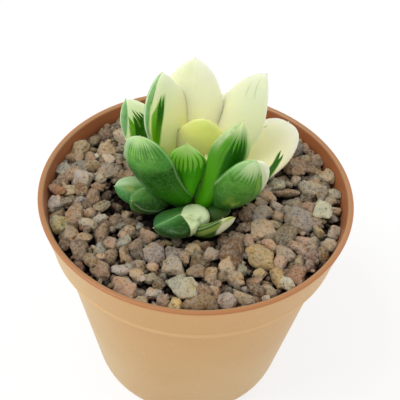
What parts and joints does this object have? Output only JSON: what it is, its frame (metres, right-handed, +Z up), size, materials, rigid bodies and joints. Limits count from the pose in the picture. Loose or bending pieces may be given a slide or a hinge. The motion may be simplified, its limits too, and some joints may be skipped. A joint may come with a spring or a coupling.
{
  "type": "potted haworthia",
  "caption": "Small variegated haworthia, a rosette of fleshy green, striped and cream leaves, in a plain round tan plastic pot filled with lava and pumice gravel.",
  "frame": {"origin": "centre of the pot's foot, on the surface that it stands on", "axes": "+Z up the pot's axis; the front, as pictured, looks along +Y with +X to the right"},
  "size_m": [0.065, 0.065, 0.0761],
  "materials": {
    "pot_plastic": "satin",
    "gravel_stone": "matte",
    "stem_green": "satin",
    "leaf_green": "satin",
    "leaf_dusky": "satin",
    "leaf_cream": "satin",
    "leaf_striped": "satin",
    "leaf_yellow": "satin"
  },
  "bodies": {
    "root": {"pot": "pot_plastic", "gravel": "gravel_stone", "stem": "stem_green", "leaf_heart_left": "leaf_green", "leaf_heart_right": "leaf_yellow", "leaf_green_centre": "leaf_green", "leaf_yellow_inner": "leaf_yellow", "leaf_green_right": "leaf_green", "leaf_green_left": "leaf_green", "leaf_cream_tall": "leaf_cream", "leaf_striped_left": "leaf_striped", "leaf_cream_right": "leaf_cream", "leaf_plump_right": "leaf_dusky", "leaf_cream_behind": "leaf_cream", "leaf_cream_broad": "leaf_cream", "leaf_low_front": "leaf_dusky", "leaf_striped_low": "leaf_striped", "leaf_low_left": "leaf_dusky", "leaf_low_front_left": "leaf_dusky", "leaf_small": "leaf_striped", "leaf_back_right": "leaf_cream", "leaf_back_middle": "leaf_striped", "leaf_back_left": "leaf_striped"}
  },
  "joints": []
}
